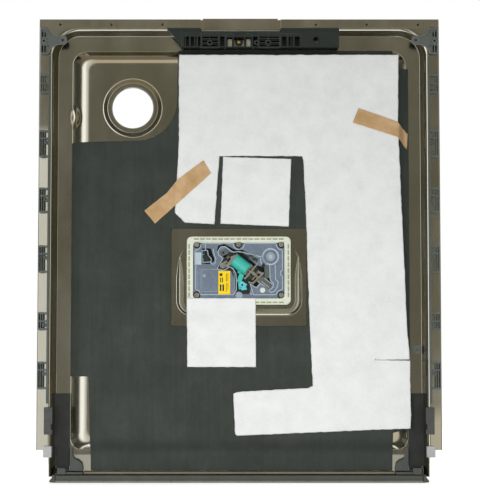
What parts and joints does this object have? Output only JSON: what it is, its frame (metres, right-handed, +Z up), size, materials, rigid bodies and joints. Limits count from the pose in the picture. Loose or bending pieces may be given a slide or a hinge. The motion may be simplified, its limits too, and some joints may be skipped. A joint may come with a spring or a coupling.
{
  "type": "dishwasher door",
  "caption": "Inner door of a built in dishwasher: pressed steel panel with side trims, latch bracket, damping mat, felt sheets and detergent dispenser, swinging on two hinge arms.",
  "frame": {"origin": "middle of the hinge axis, halfway between the two hinge pins", "axes": "+X across the door along the hinge axis, +Y towards the tub, +Z up the closed door; the outer side faces -Y"},
  "size_m": [0.598, 0.09, 0.6903],
  "materials": {
    "stainless": "satin pressed stainless sheet",
    "zinc_steel": "zinc plated steel",
    "grey_plastic": "fine textured moulding",
    "dark_plastic": "near-black satin moulding",
    "pale_grey_plastic": "light grey moulding",
    "bitumen": "matt bitumen mat",
    "white_felt": "white needle felt",
    "tan_tape": "creped paper tape",
    "cream_plastic": "cream moulding",
    "smoky_cover": "translucent blue-grey moulding",
    "teal_plastic": "teal moulding",
    "yellow_label": "printed label",
    "brass": "dull brass",
    "rubber": "black rubber"
  },
  "bodies": {
    "hinge_base": {"hinge_arm_left": "zinc_steel", "hinge_arm_right": "zinc_steel", "hinge_pin_left": "zinc_steel", "hinge_pin_right": "zinc_steel"},
    "door": {"inner_panel": "stainless", "latch_plate": "zinc_steel", "latch_strike": "zinc_steel", "solenoid_frame": "zinc_steel", "lever_screw": "zinc_steel", "dispenser_screw_1": "zinc_steel", "dispenser_screw_2": "zinc_steel", "dispenser_screw_3": "zinc_steel", "dispenser_screw_4": "zinc_steel", "dispenser_screw_5": "zinc_steel", "dispenser_screw_6": "zinc_steel", "side_trim_left": "grey_plastic", "side_trim_right": "grey_plastic", "corner_bracket_left": "grey_plastic", "corner_bracket_right": "grey_plastic", "foot_bracket_left": "grey_plastic", "foot_bracket_right": "grey_plastic", "rail_clip_left": "grey_plastic", "rail_clip_right": "grey_plastic", "rail_cap_left": "grey_plastic", "rail_cap_right": "grey_plastic", "bottom_rail": "grey_plastic", "screw_tab": "grey_plastic", "latch_bracket": "dark_plastic", "guide_block_left": "dark_plastic", "guide_block_right": "dark_plastic", "hinge_bearing_left": "pale_grey_plastic", "hinge_bearing_right": "pale_grey_plastic", "level_sensor": "pale_grey_plastic", "damping_mat": "bitumen", "side_pad_left": "bitumen", "side_pad_right": "bitumen", "absorber_sheet": "white_felt", "absorber_square_upper": "white_felt", "absorber_square_lower": "white_felt", "tape_left": "tan_tape", "tape_right": "tan_tape", "dispenser_body": "cream_plastic", "dispenser_cover": "smoky_cover", "solenoid_coil": "teal_plastic", "solenoid_connector": "teal_plastic", "dispenser_label": "yellow_label", "latch_rivet": "brass", "dispenser_gasket": "rubber", "lower_seal": "rubber"},
    "lid": {"detergent_lid": "cream_plastic"},
    "cap": {"rinse_aid_cap": "cream_plastic"},
    "dial": {"dosing_dial": "smoky_cover"},
    "plunger": {"solenoid_plunger": "zinc_steel", "plunger_spring": "brass", "release_arm": "pale_grey_plastic"},
    "lever": {"release_lever": "zinc_steel"},
    "catch": {"lid_catch": "dark_plastic"}
  },
  "joints": [
    {"name": "door_hinge", "type": "hinge", "parent": "hinge_base", "child": "door", "pos_m": [0, 0, 0], "axis": [1, 0, 0], "range_deg": [0, 90]},
    {"name": "lid_hinge", "type": "hinge", "parent": "door", "child": "lid", "pos_m": [-0.062, 0.0222, 0.2488], "axis": [0, 0, 1], "range_deg": [0, 100]},
    {"name": "cap_hinge", "type": "hinge", "parent": "door", "child": "cap", "pos_m": [0.046, 0.0221, 0.2746], "axis": [1, 0, 0], "range_deg": [0, 100]},
    {"name": "dial_turn", "type": "hinge", "parent": "door", "child": "dial", "pos_m": [0.0461, 0.0065, 0.2871], "axis": [0, -1, 0], "range_deg": [0, 270]},
    {"name": "plunger_slide", "type": "slide", "parent": "door", "child": "plunger", "axis": [-0.7986, 0, 0.6018], "range_m": [0, 0.004], "stiffness_N_per_m": 400},
    {"name": "lever_turn", "type": "hinge", "parent": "door", "child": "lever", "pos_m": [-0.0238, 0.0095, 0.2744], "axis": [0, -1, 0], "range_deg": [0, 15]},
    {"name": "catch_slide", "type": "slide", "parent": "door", "child": "catch", "axis": [1, 0, 0], "range_m": [0, 0.0024]}
  ],
  "couplings": [
    {"joint": "lever_turn", "follows": "plunger_slide", "rad_per_m": 65},
    {"joint": "catch_slide", "follows": "plunger_slide", "ratio": 0.6}
  ]
}
